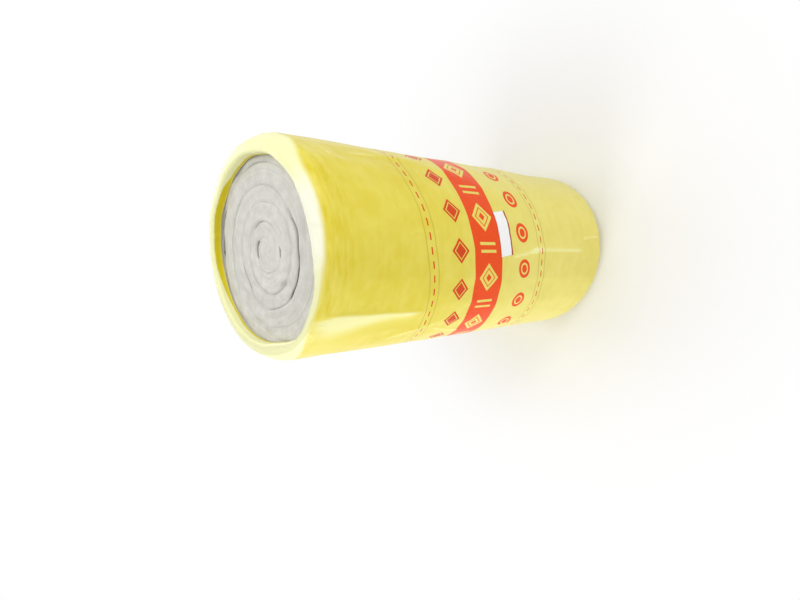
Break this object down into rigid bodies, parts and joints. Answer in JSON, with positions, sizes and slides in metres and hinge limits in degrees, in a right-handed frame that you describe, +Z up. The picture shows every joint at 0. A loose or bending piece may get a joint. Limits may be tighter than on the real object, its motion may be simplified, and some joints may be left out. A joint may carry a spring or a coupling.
{
  "type": "insulation roll",
  "caption": "Wound rock wool blanket in a tight yellow film sleeve with turned-in ends, a red printed band and a blank paper label, standing on its end.",
  "frame": {"origin": "on the floor under the middle of the roll", "axes": "+Z up the roll's axis, from the end with the rounded shoulder to the end with the recessed face; -Y is the side with the label"},
  "size_m": [0.5459, 0.5465, 1.231],
  "materials": {
    "wool": "matte mineral fibre",
    "film": "glossy yellow polyethylene film, a little creased",
    "label": "white paper with a red edge, no print"
  },
  "bodies": {
    "root": {"wool_roll": "wool", "film_wrap": "film", "product_label": "label"}
  },
  "joints": []
}
